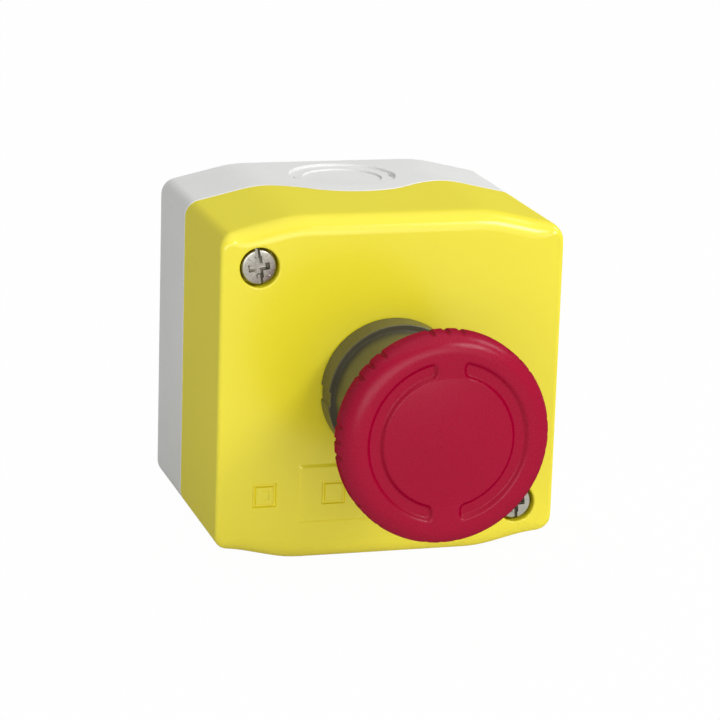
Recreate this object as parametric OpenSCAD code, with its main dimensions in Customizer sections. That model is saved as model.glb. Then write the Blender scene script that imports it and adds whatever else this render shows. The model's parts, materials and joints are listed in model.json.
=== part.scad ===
// Emergency stop control station: a moulded wall box with a turn-to-release mushroom head.
// Millimetres. The origin is the middle of the rear mounting face, the front faces -Y and
// +Z is up. A depth is the distance in front of the rear face, so depth 53 lies at y = -53.

/* [Box] */
// Width of the box
box_w = 68; // [66:0.5:80]
// Height of the box
box_h = 68; // [66:0.5:80]
// Depth of the box from the wall to the lid face
box_d = 53; // [51:0.5:65]
// Radius of the four long corners
corner_r = 3.3; // [2:0.1:5]
// Half width of the flat on the top and the underside, where the shoulders begin
flat_half = 19.5; // [14:0.5:22]
// Slope of the shoulders in degrees
shoulder_slope = 13; // [6:0.5:14]
// Side wall of the base and the lid
wall = 2.6; // [2.2:0.1:3.2]
// Rear wall of the base
rear_wall = 2.6; // [2:0.1:4]
// Front wall of the lid
front_wall = 2.8; // [2:0.1:4]
// Radius of the lid's front edges along the top and the underside
brow_r = 3.8; // [2:0.1:5]
// Radius of the lid's upright front edges
cheek_r = 0.8; // [0.4:0.1:2]

/* [Joint between base and lid] */
// Depth of the base at its sides
base_d = 22.1; // [20:0.1:25]
// How far the base arches forward in the middle of its top and underside
arch_rise = 8.3; // [5:0.1:10]
// Half width of the arch
arch_half = 21; // [18:0.5:24]
// Gap seen between base and lid
joint_gap = 0.3; // [0.2:0.05:0.5]
// Thickness of the tongue on the base rim
tongue_t = 1; // [0.8:0.1:1.2]
// Height of the tongue
tongue_h = 2; // [1.2:0.1:3]
// Thickness of the gasket in the lid groove
gasket_t = 0.9; // [0.6:0.1:1.5]
// Width of the lid's inner flange beside its groove
flange_w = 1.6; // [1.2:0.1:2.5]

/* [Cable knock-outs] */
// Diameter of the knock-out recess
knockout_d = 21.3; // [19:0.1:23]
// Depth of the knock-out centre in front of the rear face
knockout_at = 14.5; // [13.5:0.1:15.5]
// How deep the knock-out lies below the skin
knockout_recess = 0.5; // [0.3:0.1:0.9]
// Diameter of the smaller break-out ring
small_ring_d = 16.2; // [12:0.1:17.5]
// Skin left at the break-out ring
break_skin = 0.8; // [0.6:0.1:1.2]

/* [Lid screws] */
// Distance of a lid screw from the side of the box
screw_side = 7.6; // [7:0.1:8.5]
// Distance of a lid screw from the top or the underside
screw_end = 9.4; // [9:0.1:12]
// Diameter of the recess in the lid face
recess_d = 7.7; // [7.4:0.1:8.4]
// Diameter of the screw head
screw_head_d = 6.8; // [6:0.1:7.2]
// Thickness of the screw head
screw_head_t = 2.6; // [2:0.1:3]
// How far the screw head lies below the lid face
screw_sunk = 0.6; // [0.4:0.1:1.5]
// Length of the cross in the screw head
cross_l = 3.6; // [3:0.1:4.4]
// Diameter of the screw shank
shank_d = 3.8; // [3:0.1:4.2]
// Length of the screw below its head
shank_l = 38; // [32:0.5:39]
// Thickness of the sealing ring under the screw head
screw_seal_t = 0.6; // [0.4:0.1:1]
// Wall of the screw pillars in the lid and the base
pillar_wall = 3.2; // [3:0.1:3.6]

/* [Wall fixing] */
// Diameter of the two fixing holes
fixing_d = 4.3; // [4:0.1:5]
// Distance of a fixing hole from the side of the box
fixing_side = 7; // [6.5:0.1:8]
// Distance of a fixing hole from the top or the underside
fixing_end = 15; // [14:0.5:19]

/* [Label plate] */
// Distance of the raised label plate from the side of the box
plate_side = 16.1; // [14:0.1:22]
// Distance of the plate from the underside of the box
plate_end = 7.8; // [6:0.1:9]
// Gap between the plate and the bezel above it
plate_gap = 0.45; // [0.2:0.05:3]
// Height of the plate above the lid face
plate_rise = 0.4; // [0.2:0.05:0.6]
// Width of the plate's sloping edges
plate_slope = 0.7; // [0.3:0.1:1]

/* [Bezel] */
// Diameter of the bezel where it meets the lid
bezel_d = 28.1; // [27:0.1:32]
// Height of the bezel's flange above the lid face
bezel_h = 6.1; // [5:0.1:8]
// Chamfer of the flange
bezel_chamfer = 0.4; // [0.3:0.05:1]
// Diameter of the sleeve under the head
sleeve_d = 25.8; // [25.4:0.1:26.4]
// Wall of the sleeve
sleeve_wall = 1.6; // [1.4:0.1:1.8]
// Height of the sleeve's rim above the lid face
sleeve_h = 26.5; // [24:0.1:27.2]
// Diameter of the threaded barrel
barrel_d = 22; // [21.8:0.05:22.1]
// Diameter of the hole in the lid
panel_hole_d = 22.3; // [22.2:0.05:22.6]
// Length of the barrel behind the lid's front wall
barrel_l = 14.2; // [13.5:0.1:15]
// Length of the wide bore at the barrel's end, which holds the latch ring
latch_bore_l = 10; // [9:0.1:11]
// Height of the plunger's guide above the lid face
guide_h = 7; // [6.6:0.1:7.4]
// Thickness of the ring nut
nut_t = 6; // [4:0.1:9]
// Diameter of the ring nut
nut_d = 30.4; // [27:0.1:34]
// Diameter of the nut's spanner slots
nut_slot_d = 4; // [3:0.5:5]
// Width of the bezel seal
bezel_seal_w = 2.1; // [1.6:0.1:2.3]
// Thickness of the bezel seal
bezel_seal_t = 1.1; // [0.8:0.1:1.6]
// Width of the tab that stops the bezel from turning
tab_w = 2.8; // [2.2:0.1:3.4]
// Height of that tab above the barrel
tab_h = 1.2; // [0.8:0.1:1.3]

/* [Mushroom head] */
// Diameter of the head
cap_d = 40; // [36:0.5:44]
// Distance from the lid face to the crown of the head
cap_reach = 38; // [37.4:0.1:42]
// Height of the widest band of the rim, measured back from the crown
cap_band = 6.4; // [6:0.1:8]
// Radius of the rounded front edge
cap_edge_r = 3.6; // [2:0.1:4.4]
// Height of the whole cap from crown to skirt
cap_h = 13; // [12:0.1:14]
// Diameter of the skirt
skirt_d = 29.6; // [29:0.1:31]
// Outer diameter of the split ring recess
ring_outer_d = 31; // [28:0.1:32]
// Inner diameter of the split ring recess
ring_inner_d = 24; // [20:0.1:25]
// Depth of the split ring recess
ring_sunk = 0.9; // [0.5:0.1:1.2]
// Width of the two bridges across the recess
bridge_w = 5.2; // [3:0.1:8]
// Thickness of the head behind its crown
cap_roof = 5; // [4:0.1:6]
// Rise of the crown over its centre disc
crown_rise = 0.8; // [0.3:0.05:1]
// Groups of gripping notches round the rim
notch_groups = 8; // [4:1:12]
// Notches in a group
notches = 3; // [1:1:4]
// Angle between neighbouring notches in degrees
notch_pitch = 8.3; // [6:0.1:9]
// Radius of a notch
notch_r = 0.5; // [0.3:0.05:0.8]

/* [Plunger and latch] */
// Travel of the head when it is pushed
travel = 5.5; // [4:0.1:5.7]
// Diameter of the plunger in its guide
guide_d = 18.2; // [17.8:0.05:18.3]
// Diameter of the plunger inside the latch ring
waist_d = 16.8; // [16.4:0.05:17]
// Diameter of the release stem
stem_d = 9.8; // [9:0.05:10]
// Depth of the stem's front end below the crown
stem_cover = 7; // [6:0.5:8]
// Width of the two ribs that keep the plunger from turning
rib_w = 2.4; // [1.8:0.1:2.4]
// Height of those ribs
rib_h = 0.5; // [0.4:0.05:0.5]
// Length of the plunger's plain neck in front of its guide
neck_l = 2; // [1.5:0.1:3]
// How far the plunger reaches in front of the bezel's guide
plunger_rise = 6; // [5:0.1:6.5]
// Distance from the actuator foot to the clip's seat
clip_reach = 4.9; // [4.6:0.1:5.2]
// Room round the stem for the clip
clip_room = 1.7; // [1.5:0.1:1.8]
// Wall of the foot's ring behind the clip
foot_ring_t = 1.6; // [1.2:0.1:1.6]
// Height of that ring
foot_ring_h = 1.6; // [1:0.1:2]
// Running clearance at radius
running = 0.1; // [0.05:0.01:0.1]
// Diameter of a latch ball
ball_d = 3.2; // [2.8:0.05:3.2]
// Wire of the head spring
head_wire = 1.1; // [0.8:0.05:1.1]
// Turns of the head spring
head_turns = 7; // [4:1:9]
// Clearance of pieces that seat
seat_gap = 0.3; // [0.2:0.05:0.35]

/* [Contact blocks] */
// Width of one contact block
block_w = 11.6; // [11:0.1:12]
// Height of a contact block
block_h = 42; // [41:0.5:44]
// Distance between a contact block and the head's barrel
block_clear = 10.4; // [9.9:0.1:10.9]
// Distance between the middles of the two blocks
block_pitch = 12; // [12:0.1:12.6]
// Width of the plunger
key_w = 6; // [5.6:0.1:6.2]
// Height of the plunger
key_h = 8; // [7:0.1:8.4]
// Thickness of contact bridge and strips
strip_t = 0.8; // [0.6:0.05:1]
// Width of contact bridge and strips
strip_w = 3.6; // [3:0.1:3.8]
// Distance of a contact rivet from the block's middle
rivet_z = 7.6; // [7.2:0.1:8]
// Diameter of a contact rivet
rivet_d = 2.6; // [2:0.1:3]
// Height of a contact rivet
rivet_t = 0.6; // [0.4:0.05:0.7]
// Depth of the contact strips below the block's face
strip_depth = 7; // [6.6:0.1:7.4]
// How far the plunger reaches behind its bridge
key_under = 4.4; // [4:0.1:4.8]
// Width of a terminal well
well_w = 8.8; // [8.4:0.1:9.2]
// Distance of a terminal screw from the block's middle
terminal_z = 16.6; // [16.4:0.1:17]
// Diameter of a terminal screw's head
terminal_head_d = 6; // [5.4:0.1:6.4]
// Diameter of a terminal screw's shank
terminal_shank_d = 3.2; // [2.6:0.1:3.4]
// Length of a terminal screw's shank behind the strip
terminal_shank_l = 8; // [6:0.5:9]
// Height of a terminal clamp
clamp_h = 6; // [5:0.1:6.6]
// Room beside a terminal clamp in its well
clamp_room = 1; // [0.6:0.1:1.2]
// Width of the hooks that hold a block's feet
hook_w = 5; // [4:0.1:6]
// Thickness of those hooks
hook_t = 1.5; // [1.2:0.1:2]
// Wire of the contact spring
contact_wire = 0.5; // [0.3:0.05:0.5]
// Turns of the contact spring
contact_turns = 4; // [3:1:4]

/* [Hidden] */
$fn = 96;
far = 120;
play = 0.2;
shoulder_h = flat_half * sin(shoulder_slope) + box_h / 2 * cos(shoulder_slope);
arch_r = (pow(arch_half, 2) + pow(arch_rise, 2)) / (4 * arch_rise);
groove_out = wall - tongue_t - play;
groove_in = wall + joint_gap;
groove_top = tongue_h + seat_gap + gasket_t;
flange_in = groove_in + flange_w - joint_gap;
front_in = box_d - front_wall;
screw_x = box_w / 2 - screw_side;
screw_z = box_h / 2 - screw_end;
plate_half = box_w / 2 - plate_side;
plate_low = plate_end - box_h / 2;
plate_high = -bezel_d / 2 - plate_gap;
plate_foot = 0.5;
plate_spread = plate_slope * plate_foot / plate_rise;
screw_top = box_d - screw_sunk;
screw_seat = screw_top - screw_head_t;
recess_floor = screw_seat - screw_seal_t;
shank_end = screw_seat - shank_l;
pillar_bore_d = shank_d + 2 * play;
barrel_back = front_in - barrel_l;
guide_top = box_d + guide_h;
latch_step = barrel_back + latch_bore_l;
latch_back = barrel_back + 1.4;
bezel_back = box_d + seat_gap;
barrel_bore_d = barrel_d - 2.2;
cup_d = sleeve_d - 2 * sleeve_wall;
crown = box_d + cap_reach;
cap_rim = crown - crown_rise;
ceiling = crown - cap_roof;
boss_d = 15;
block_top = barrel_back - block_clear;
key_top = block_top + travel + play;
foot_back = key_top + seat_gap;
foot_front = foot_back + 2.8;
collar_front = latch_back - seat_gap;
plunger_top = guide_top + plunger_rise;
clip_seat = foot_front + clip_reach;
clip_t = 0.7;
ball_rest = latch_step - 0.7;
ball_x = waist_d / 2 - ball_d / 2 - play / 2;
strip_back = block_top - strip_depth;
strip_front = strip_back + strip_t;
rivet_gap = 0.1;
bridge_front = strip_back - 2 * rivet_t - rivet_gap;
bridge_back = bridge_front - strip_t;
key_back = bridge_back - key_under;
spring_seat = rear_wall + 1.6;
clamp_back = strip_front + play;
clamp_t = 1;
clamp_front = clamp_back + clamp_t;
foot_ledge_t = 2.4;
foot_ledge_w = 1.6;
hook_top = rear_wall + 2 * foot_ledge_t;

// A flat outline seen from the front, given thickness between two depths
module slab(back, front) translate([0, -back, 0]) rotate([90, 0, 0])
    linear_extrude(front - back) children();

// A round bar or bore along the depth
module rod(d, back, front) translate([0, -back, 0]) rotate([90, 0, 0])
    cylinder(d = d, h = front - back);

// A half profile of radius and depth, turned about the depth axis
module turned() rotate([90, 0, 0]) rotate_extrude() children();

// A plan of x and depth, run through the whole height
module plan() mirror([0, 1, 0]) linear_extrude(2 * far, center = true) children();

// A side view of depth and height, run through the whole width
module side_view() rotate([90, 0, -90]) linear_extrude(2 * far, center = true) children();

// Both lid screw places: upper left and lower right
module at_screws() for (side = [-1, 1])
    translate([side * screw_x, 0, -side * screw_z]) children();

// Waste that rounds a square corner whose point is the origin
module corner_waste(r) difference() {
    translate([-r, -r]) square(2 * r);
    translate([-r, -r]) circle(r);
}

// One long corner's waste, between the upright side and the sloping shoulder
module long_corner_waste(inset) {
    r = max(corner_r - inset, 0.6);
    cx = box_w / 2 - inset - r;
    cz = (shoulder_h - inset - r - cx * sin(shoulder_slope)) / cos(shoulder_slope);
    translate([cx, cz]) difference() {
        polygon([[0, 0], [r + 2, 0], [r + 2, r + 4], [(r + 2) * sin(shoulder_slope), r + 4],
            [(r + 2) * sin(shoulder_slope), (r + 2) * cos(shoulder_slope)]]);
        circle(r);
    }
}

// Front outline of the box at an inset from its skin
module outline(inset = 0) difference() {
    intersection() {
        square([box_w - 2 * inset, box_h - 2 * inset], center = true);
        rotate(shoulder_slope) square([far, 2 * (shoulder_h - inset)], center = true);
        rotate(-shoulder_slope) square([far, 2 * (shoulder_h - inset)], center = true);
    }
    for (mx = [0, 1], mz = [0, 1]) mirror([mx, 0]) mirror([0, mz]) long_corner_waste(inset);
}

// Ring between two insets of the outline
module outline_ring(outer, inner) difference() {
    outline(outer);
    outline(inner);
}

// Plan of all that lies behind the arched joint, moved forward by a distance
module behind_joint(shift = 0) translate([0, base_d + shift]) {
    translate([-far, -far]) square([2 * far, far]);
    difference() {
        translate([-arch_half, -1]) square([2 * arch_half, 1 + arch_rise / 2]);
        for (side = [-1, 1]) translate([side * arch_half, arch_r]) circle(arch_r);
    }
    intersection() {
        translate([0, arch_rise - arch_r]) circle(arch_r);
        translate([-arch_half / 2, 0]) square([arch_half, arch_rise + 1]);
    }
}

// What lies between two distances in front of the joint
module joint_band(back, front) plan() difference() {
    behind_joint(front);
    behind_joint(back);
}

// Side profile whose front edges are rounded, to a half height
module rounded_nose(half, r) difference() {
    translate([-far, -half]) square([far + box_d, 2 * half]);
    for (m = [0, 1]) mirror([0, m]) translate([box_d, half]) corner_waste(r);
}

// Closed outer form of box and lid together
module box_form() intersection() {
    slab(0, box_d) outline();
    side_view() rounded_nose(box_h / 2, brow_r);
    rotate([0, shoulder_slope, 0]) side_view() rounded_nose(shoulder_h, brow_r);
    rotate([0, -shoulder_slope, 0]) side_view() rounded_nose(shoulder_h, brow_r);
    plan() rotate(90) rounded_nose(box_w / 2, cheek_r);
}

// Sunk break-out disc of a cable entry, cut from the top wall
module knockout() translate([0, -knockout_at, box_h / 2]) {
    translate([0, 0, -knockout_recess]) cylinder(d = knockout_d, h = far);
    translate([0, 0, -wall - 1]) difference() {
        cylinder(d = knockout_d, h = 1 + wall - knockout_recess - break_skin);
        cylinder(d = knockout_d - 1.6, h = far, center = true);
    }
    translate([0, 0, -knockout_recess - 0.3]) difference() {
        cylinder(d = small_ring_d, h = 1);
        cylinder(d = small_ring_d - 0.7, h = far, center = true);
    }
    for (side = [-1, 1]) translate([side * (knockout_d / 2 - 0.4), 0, -knockout_recess])
        cube([0.8, 2, 0.8], center = true);
}

// Hook that holds down the foot of a contact block
module block_hook() translate([0, 0, block_h / 2 + foot_ledge_w + seat_gap]) {
    slab(rear_wall - 0.5, hook_top) translate([-hook_w / 2, 0]) square([hook_w, hook_t]);
    slab(rear_wall + foot_ledge_t + play, hook_top)
        translate([-hook_w / 2, -foot_ledge_w]) square([hook_w, foot_ledge_w + 0.1]);
}

module enclosure_base() color("#dcdcda") difference() {
    union() {
        intersection() {
            difference() {
                slab(0, base_d + arch_rise + 1) outline();
                slab(rear_wall, far) outline(wall);
            }
            plan() behind_joint();
        }
        intersection() {
            slab(base_d - 2, far) outline_ring(wall - tongue_t, wall);
            plan() behind_joint(tongue_h);
        }
        intersection() {
            at_screws() rod(pillar_bore_d + 2 * pillar_wall, rear_wall - 1, base_d);
            slab(0, base_d) outline(wall / 2);
        }
        for (mx = [0, 1], mz = [0, 1]) mirror([mx, 0, 0]) mirror([0, 0, mz])
            translate([block_pitch / 2, 0, 0]) block_hook();
    }
    at_screws() rod(pillar_bore_d, shank_end - 1, far);
    for (side = [-1, 1])
        translate([side * (box_w / 2 - fixing_side), 0, side * (box_h / 2 - fixing_end)])
            rod(fixing_d, -1, rear_wall + 1);
    for (m = [0, 1]) mirror([0, 0, m]) knockout();
}

// Raised plate with sloping edges on the lid face, below the bezel
module label_plate() intersection() {
    plan() polygon([[-plate_half - plate_spread, box_d - plate_foot],
        [plate_half + plate_spread, box_d - plate_foot],
        [plate_half - plate_slope, box_d + plate_rise],
        [plate_slope - plate_half, box_d + plate_rise]]);
    side_view() polygon([[box_d - plate_foot, plate_low - plate_spread],
        [box_d + plate_rise, plate_low + plate_slope],
        [box_d + plate_rise, plate_high - plate_slope],
        [box_d - plate_foot, plate_high + plate_spread]]);
}

module lid() color("#f0dc3c") difference() {
    union() {
        difference() {
            union() {
                box_form();
                label_plate();
            }
            slab(-1, front_in) outline(wall);
        }
        intersection() {
            slab(base_d, front_in - 1) outline_ring(wall - 0.5, flange_in);
            plan() behind_joint(groove_top + 1.2);
        }
        intersection() {
            at_screws() rod(pillar_bore_d + 2 * pillar_wall, base_d + joint_gap, front_in + 1);
            slab(0, far) outline(wall / 2);
        }
        intersection() {
            at_screws() rod(recess_d + 3, recess_floor - 2, front_in + 1);
            slab(0, far) outline(wall / 2);
        }
    }
    plan() behind_joint(joint_gap);
    intersection() {
        slab(0, far) outline_ring(groove_out, groove_in);
        plan() behind_joint(groove_top);
    }
    at_screws() {
        rod(pillar_bore_d, 0, box_d);
        rod(recess_d, recess_floor, far);
    }
    rod(panel_hole_d, front_in - 1, far);
    slab(front_in - 1, far) translate([-tab_w / 2 - play, 0])
        square([tab_w + 2 * play, barrel_d / 2 + tab_h + play]);
}

module lid_gasket() color("#303030") intersection() {
    slab(0, far) outline_ring(groove_out + play / 2, groove_in - play / 2);
    joint_band(tongue_h + seat_gap, groove_top);
}

// Screw with a combined cross and slot in its head
module lid_screw() color("#b9bec4") difference() {
    union() {
        rod(screw_head_d, screw_seat, screw_top);
        rod(shank_d, shank_end, screw_seat + 0.1);
    }
    slab(screw_top - 0.9, far) square([screw_head_d + 1, 0.9], center = true);
    slab(screw_top - 1.4, far) for (turn = [0, 90]) rotate(turn)
        square([cross_l, 1], center = true);
}

module lid_screw_upper() translate([-screw_x, 0, screw_z]) rotate([0, -97, 0]) lid_screw();

module lid_screw_lower() translate([screw_x, 0, -screw_z]) rotate([0, -95, 0]) lid_screw();

module screw_seals() color("#202020") at_screws() difference() {
    rod(screw_head_d, recess_floor, screw_seat - running);
    rod(shank_d + play, 0, far);
}

module head_bezel() color("#3c3c34") difference() {
    union() {
        turned() polygon([[0, bezel_back], [bezel_d / 2, bezel_back],
            [bezel_d / 2, box_d + bezel_h - bezel_chamfer],
            [bezel_d / 2 - bezel_chamfer, box_d + bezel_h], [0, box_d + bezel_h]]);
        rod(sleeve_d, bezel_back, box_d + sleeve_h);
        rod(barrel_d, barrel_back, bezel_back + 1);
        slab(front_in, bezel_back + 1) translate([-tab_w / 2, 0])
            square([tab_w, barrel_d / 2 + tab_h]);
    }
    rod(barrel_bore_d, 0, latch_step);
    rod(guide_d + 2 * running, 0, guide_top + 1);
    rod(cup_d, guide_top, far);
    slab(latch_step - 1, guide_top + 1)
        square([rib_w + 2 * play, guide_d + 2 * rib_h + 2 * play], center = true);
    difference() {
        rod(panel_hole_d + 2 * (bezel_seal_w + play), 0, box_d + bezel_seal_t);
        rod(panel_hole_d - 0.1, -1, far);
    }
    for (side = [-1, 1]) translate([side * bezel_d / 2, -box_d - bezel_h / 2, 0])
        cube([0.7, bezel_h + 1, 2.8], center = true);
}

module bezel_seal() color("#1c1c1c") difference() {
    rod(panel_hole_d + 2 * bezel_seal_w, box_d, box_d + bezel_seal_t);
    rod(panel_hole_d + 0.3, 0, far);
    slab(0, far) translate([-tab_w / 2 - play, 0])
        square([tab_w + 2 * play, barrel_d / 2 + tab_h + play]);
}

module fixing_nut() color("#4a4a4c") difference() {
    rod(nut_d, front_in - nut_t, front_in);
    rod(barrel_d + 2 * running, 0, far);
    for (turn = [0 : 45 : 315]) rotate([0, turn, 0]) translate([0, 0, nut_d / 2])
        rod(nut_slot_d, 0, front_in - nut_t / 3);
}

module latch_ring() color("#b0a890") difference() {
    rod(barrel_bore_d - running, latch_back, latch_step);
    rod(waist_d + 3 * running, 0, far);
    rod(waist_d + 1.6, ball_rest - travel - ball_d / 2, ball_rest - travel + ball_d / 2);
}

// Half profile of the cap's outer form, with its rounded front edge and sloping underside
module cap_profile() {
    difference() {
        translate([0, crown - cap_band]) square([cap_d / 2, cap_band - crown_rise]);
        translate([cap_d / 2, cap_rim]) corner_waste(cap_edge_r);
    }
    polygon([[0, crown - cap_h], [skirt_d / 2, crown - cap_h],
        [cap_d / 2, crown - cap_band], [0, crown - cap_band]]);
    intersection() {
        crown_r = (pow(ring_inner_d / 2, 2) + pow(crown_rise, 2)) / (2 * crown_rise);
        translate([0, crown - crown_r]) circle(crown_r, $fn = 720);
        translate([0, cap_rim - 1]) square([ring_inner_d / 2, 2]);
    }
}

// One end of the split ring recess, rounded
module ring_end() {
    end_r = (ring_outer_d - ring_inner_d) / 4;
    mid_r = (ring_outer_d + ring_inner_d) / 4;
    end_x = bridge_w / 2 + end_r;
    translate([end_x, sqrt(pow(mid_r, 2) - pow(end_x, 2))]) circle(end_r);
}

// The recess as two arcs with a bridge at the top and at the bottom
module split_ring() {
    difference() {
        circle(d = ring_outer_d);
        circle(d = ring_inner_d);
        square([bridge_w + (ring_outer_d - ring_inner_d) / 2, far], center = true);
    }
    for (mx = [0, 1], mz = [0, 1]) mirror([mx, 0]) mirror([0, mz]) ring_end();
}

module mushroom_cap() color("#be1e37") difference() {
    union() {
        difference() {
            turned() cap_profile();
            rod(sleeve_d + 1, 0, ceiling);
        }
        rod(boss_d, plunger_top + seat_gap, ceiling + 1);
    }
    slab(cap_rim - ring_sunk, far) split_ring();
    rod(stem_d + running, 0, crown - stem_cover);
    for (group = [0 : notch_groups - 1], i = [0 : notches - 1])
        rotate([0, group * 360 / notch_groups + (i - (notches - 1) / 2) * notch_pitch, 0])
            translate([0, 0, cap_d / 2 + 0.05]) rod(2 * notch_r, 0, far);
}

module release_stem() color("#c8c8c8") difference() {
    rod(stem_d, clip_seat - clip_t - 1.6, crown - stem_cover);
    difference() {
        rod(far, clip_seat - clip_t - 0.4, clip_seat - 0.3);
        rod(stem_d - 1.8, 0, far);
    }
}

module stem_clip() color("#909498") difference() {
    rod(stem_d + 2.6, clip_seat - clip_t - 0.35, clip_seat - 0.35);
    rod(stem_d - 1.7, 0, far);
    slab(0, far) translate([-1.6, -far]) square([3.2, far]);
}

module head_plunger() color("#2e2e30") difference() {
    union() {
        rod(barrel_bore_d - 0.6, foot_front, collar_front);
        rod(waist_d, foot_front, plunger_top);
        rod(guide_d, latch_step + travel + seat_gap, plunger_top - neck_l);
        slab(latch_step + travel + seat_gap, plunger_top - neck_l)
            square([rib_w, guide_d + 2 * rib_h], center = true);
    }
    rod(stem_d + 2 * clip_room, 0, clip_seat);
    rod(stem_d + 2 * running, 0, far);
    translate([0, -ball_rest, 0]) rotate([0, 90, 0])
        cylinder(d = ball_d + running, h = far, center = true);
}

module actuator_foot() color("#3a3a3c") {
    rod(barrel_bore_d - 0.6, foot_back, foot_front);
    rod(stem_d + 2 * foot_ring_t, foot_front - 0.5, foot_front + foot_ring_h);
}

module latch_balls() color("#c0c4c8") for (side = [-1, 1])
    translate([side * ball_x, -ball_rest, 0]) sphere(d = ball_d);

// Points of a coil's section ring at a turn angle
function coil_ring(r, wire_r, pitch, angle, sides) = [for (k = [0 : sides - 1])
    let (across = r + wire_r * cos(360 * k / sides))
    [across * cos(angle), across * sin(angle),
        pitch * angle / 360 + wire_r * sin(360 * k / sides)]];

// A helical spring of round wire that stands on the z = 0 plane
module coil(r, wire, height, turns, steps, sides) {
    pitch = (height - wire) / turns;
    rings = turns * steps;
    points = [for (i = [0 : rings]) each coil_ring(r, wire / 2, pitch, 360 * i / steps, sides)];
    walls = [for (i = [0 : rings - 1], k = [0 : sides - 1])
        let (a = i * sides + k, b = i * sides + (k + 1) % sides)
        each [[a, a + sides, b], [b, a + sides, b + sides]]];
    ends = [[for (k = [0 : sides - 1]) k], [for (k = [sides - 1 : -1 : 0]) rings * sides + k]];
    translate([0, 0, wire / 2]) polyhedron(points, concat(walls, ends));
}

module head_return_spring() color("#a8acb0") translate([0, -guide_top, 0]) rotate([90, 0, 0])
    coil((cup_d - play - head_wire) / 2 - 0.25, head_wire, ceiling - guide_top, head_turns, 20, 8);

// A block's piece put in the left (-1) or the right (1) block
module in_block(side) translate([side * block_pitch / 2, 0, 0]) children();

// Both ends of a block, upper and lower
module both_ends() for (m = [0, 1]) mirror([0, 0, m]) children();

module contact_block(side) color("#2c2c2e") in_block(side) difference() {
    union() {
        slab(rear_wall, block_top)
            square([block_w, 2 * terminal_z - well_w - 2.2], center = true);
        slab(rear_wall, block_top - 2) square([block_w, block_h], center = true);
        slab(rear_wall, rear_wall + foot_ledge_t)
            square([block_w - 3, block_h + 2 * foot_ledge_w], center = true);
    }
    slab(spring_seat, far) square([key_w + 3 * running, key_h + 3 * running], center = true);
    slab(bridge_back - travel - 0.6, strip_back)
        square([strip_w + 1.2, 2 * (rivet_z + rivet_d / 2 + 0.7)], center = true);
    both_ends() {
        slab(strip_back - 0.1, strip_front + 0.1) translate([-strip_w / 2 - 0.1, key_h / 2 + 2.1])
            square([strip_w + 0.2, terminal_z - key_h / 2]);
        slab(strip_back, far) translate([-well_w / 2, terminal_z - well_w / 2])
            square([well_w, far]);
        translate([0, 0, terminal_z])
            rod(terminal_shank_d + 0.3, strip_back - terminal_shank_l - 0.5, far);
    }
}

module contact_plunger(side) color("#b02030") in_block(side) difference() {
    slab(key_back, key_top) square([key_w, key_h], center = true);
    slab(bridge_back - 1.2, bridge_front) square([strip_w + 0.2, far], center = true);
}

module contact_bridge(side) color("#c8b878") in_block(side) {
    slab(bridge_back, bridge_front)
        square([strip_w, 2 * (rivet_z + rivet_d / 2 + 0.1)], center = true);
    both_ends() translate([0, 0, rivet_z])
        rod(rivet_d, bridge_front - 0.1, bridge_front + rivet_t);
}

module contact_spring(side) color("#a8acb0") in_block(side)
    translate([0, -spring_seat, 0]) rotate([90, 0, 0])
        coil((key_w - contact_wire) / 2 - 0.4, contact_wire, key_back - spring_seat,
            contact_turns, 16, 6);

module fixed_contacts(side) color("#c8b878") in_block(side) both_ends() difference() {
    union() {
        slab(strip_back, strip_front) translate([-strip_w / 2, key_h / 2 + 2.2])
            square([strip_w, terminal_z + 2.4 - key_h / 2 - 2.2]);
        translate([0, 0, rivet_z]) rod(rivet_d, strip_back - rivet_t, strip_back + 0.1);
    }
    translate([0, 0, terminal_z]) rod(terminal_shank_d + 0.1, 0, far);
}

module terminal_clamps(side) color("#b9bec4") in_block(side) both_ends()
    translate([0, 0, terminal_z]) difference() {
        slab(clamp_back, clamp_front) square([well_w - 2 * clamp_room, clamp_h], center = true);
        rod(terminal_shank_d + 0.3, 0, far);
    }

module terminal_screws(side) color("#b9bec4") in_block(side) both_ends()
    translate([0, 0, terminal_z]) difference() {
        union() {
            rod(terminal_head_d, clamp_front, clamp_front + 2);
            rod(terminal_shank_d, strip_back - terminal_shank_l, clamp_front + 0.1);
        }
        slab(clamp_front + 1.1, far) square([terminal_head_d + 1, 0.8], center = true);
        slab(clamp_front + 0.8, far) for (turn = [0, 90]) rotate(turn)
            square([3.2, 0.8], center = true);
    }

enclosure_base();
lid();
lid_gasket();
lid_screw_upper();
lid_screw_lower();
screw_seals();
head_bezel();
bezel_seal();
fixing_nut();
latch_ring();
mushroom_cap();
release_stem();
stem_clip();
head_plunger();
actuator_foot();
latch_balls();
head_return_spring();
contact_block(-1);  // contact_block_left
contact_block(1);  // contact_block_right
contact_plunger(-1);  // contact_plunger_left
contact_plunger(1);  // contact_plunger_right
contact_bridge(-1);  // contact_bridge_left
contact_bridge(1);  // contact_bridge_right
contact_spring(-1);  // contact_spring_left
contact_spring(1);  // contact_spring_right
fixed_contacts(-1);  // fixed_contacts_left
fixed_contacts(1);  // fixed_contacts_right
terminal_clamps(-1);  // terminal_clamps_left
terminal_clamps(1);  // terminal_clamps_right
terminal_screws(-1);  // terminal_screws_left
terminal_screws(1);  // terminal_screws_right
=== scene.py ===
import json
import math

import bmesh
import bpy
import numpy as np
from mathutils import Matrix, Vector


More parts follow.
